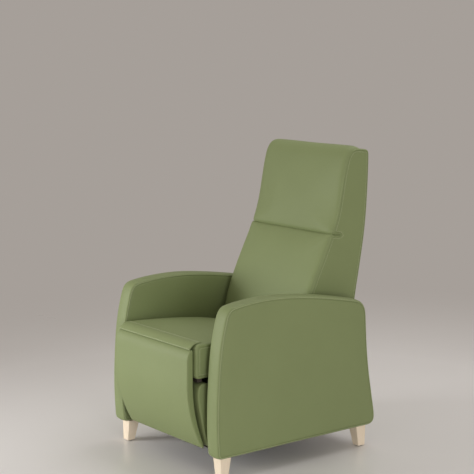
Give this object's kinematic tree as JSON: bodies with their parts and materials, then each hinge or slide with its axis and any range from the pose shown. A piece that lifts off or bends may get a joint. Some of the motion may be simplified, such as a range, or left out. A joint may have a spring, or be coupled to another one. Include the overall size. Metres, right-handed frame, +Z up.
{
  "type": "patient recliner chair",
  "caption": "Padded ward recliner chair with closed arms on wooden legs, a high back that reclines and drives the seat forward, and a folding footrest panel.",
  "frame": {"origin": "on the floor under the middle of the chair's overall box", "axes": "+Z up, -Y the front, +X the left side of the person seated"},
  "size_m": [0.67, 0.846, 1.136],
  "materials": {
    "upholstery": "matt green leatherette with a fine grain",
    "beech": "pale beech, clear matt lacquer",
    "frame_wood": "planed, unfinished",
    "plywood": "birch plywood, unfinished",
    "black_plastic": "moulded, matt",
    "black_fabric": "woven",
    "black_steel": "black powder coat",
    "zinc_steel": "bright zinc plate"
  },
  "bodies": {
    "base": {"arm_frame_left": "frame_wood", "arm_frame_right": "frame_wood", "arm_pad_left": "upholstery", "arm_pad_right": "upholstery", "leg_front_left": "beech", "leg_front_right": "beech", "leg_rear_left": "beech", "leg_rear_right": "beech", "leg_glides": "black_plastic", "leg_bolts": "zinc_steel", "front_rail": "frame_wood", "apron_pad": "upholstery", "rear_rail": "frame_wood", "rear_panel": "plywood", "rear_apron_pad": "upholstery", "corner_brackets": "zinc_steel", "dust_cover": "black_fabric", "slide_rails": "black_steel", "pivot_plates": "zinc_steel", "back_pivot_pins": "zinc_steel", "pivot_bushes": "black_plastic", "cross_tube": "black_steel", "spring_bracket": "black_steel", "gas_spring_cylinder": "black_steel"},
    "gas_rod": {"gas_spring_rod": "zinc_steel", "gas_spring_eye": "zinc_steel"},
    "seat": {"seat_frame": "frame_wood", "seat_springs": "zinc_steel", "spring_clips": "zinc_steel", "seat_cushion": "upholstery", "seat_plate_left": "black_steel", "seat_plate_right": "black_steel", "slide_blocks": "black_plastic", "drive_brackets": "black_steel", "hinge_leaf_seat": "zinc_steel", "hinge_pin": "zinc_steel"},
    "cross_shaft": {"footrest_shaft": "zinc_steel", "shaft_cranks": "zinc_steel", "rear_crank_pins": "zinc_steel"},
    "links": {"footrest_links": "zinc_steel"},
    "footrest": {"footrest_board": "plywood", "footrest_pad": "upholstery", "hinge_leaf_footrest": "zinc_steel", "footrest_crank_left": "zinc_steel", "footrest_crank_right": "zinc_steel", "front_crank_pins": "zinc_steel"},
    "back": {"back_pad": "upholstery", "headrest_pad": "upholstery", "back_cover": "upholstery", "back_side_panel_left": "plywood", "back_side_panel_right": "plywood", "back_top_rail": "frame_wood", "back_middle_rail": "frame_wood", "back_bottom_rail": "frame_wood", "back_webbing": "black_fabric", "back_bracket_left": "black_steel", "back_bracket_right": "black_steel", "drive_pins": "zinc_steel", "spring_pin": "zinc_steel", "spring_clevis": "black_steel"}
  },
  "joints": [
    {"name": "back_recline", "type": "hinge", "parent": "base", "child": "back", "pos_m": [0, 0.15, 0.4], "axis": [-1, 0, 0], "range_deg": [0, 32]},
    {"name": "seat_slide", "type": "slide", "parent": "base", "child": "seat", "axis": [0, -1, 0], "range_m": [0, 0.0552]},
    {"name": "gas_rod_slide", "type": "slide", "parent": "base", "child": "gas_rod", "axis": [0, -1, 0], "range_m": [0, 0.0442]},
    {"name": "footrest_lift", "type": "hinge", "parent": "seat", "child": "footrest", "pos_m": [0, -0.3945, 0.474], "axis": [-1, 0, 0], "range_deg": [0, 85]},
    {"name": "shaft_turn", "type": "hinge", "parent": "seat", "child": "cross_shaft", "pos_m": [0, -0.2845, 0.392], "axis": [-1, 0, 0], "range_deg": [0, 85]},
    {"name": "link_turn", "type": "hinge", "parent": "footrest", "child": "links", "pos_m": [0, -0.37911, 0.43171], "axis": [-1, 0, 0], "range_deg": [-85, 0]}
  ],
  "couplings": [
    {"joint": "seat_slide", "follows": "back_recline", "m_per_rad": 0.098705},
    {"joint": "gas_rod_slide", "follows": "back_recline", "m_per_rad": 0.078964},
    {"joint": "shaft_turn", "follows": "footrest_lift", "ratio": 1},
    {"joint": "link_turn", "follows": "footrest_lift", "ratio": -1}
  ]
}
